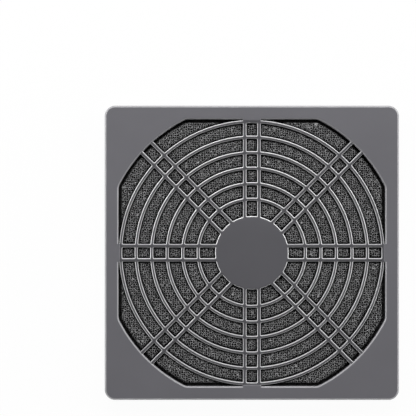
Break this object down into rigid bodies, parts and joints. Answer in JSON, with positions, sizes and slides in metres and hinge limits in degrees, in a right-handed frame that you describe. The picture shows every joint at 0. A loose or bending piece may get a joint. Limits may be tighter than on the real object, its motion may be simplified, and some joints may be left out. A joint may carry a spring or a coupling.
{
  "type": "fan dust filter",
  "caption": "Square clip-on dust filter for a cooling fan: cover with a ringed grille and round hub, foam pad, and a back guard that screws to the fan.",
  "frame": {"origin": "centre of the guard's back face, where it lies on the fan", "axes": "+Z out of the cover's front, away from the fan, +Y up and +X to the right when seen from the front"},
  "size_m": [0.124, 0.124, 0.01],
  "materials": {
    "cover_plastic": "dark grey moulded plastic with a fine satin texture",
    "foam": "charcoal open-cell foam",
    "guard_plastic": "dark grey moulded plastic, satin"
  },
  "bodies": {
    "root": {"front_cover": "cover_plastic", "filter_foam": "foam", "back_guard": "guard_plastic"}
  },
  "joints": []
}
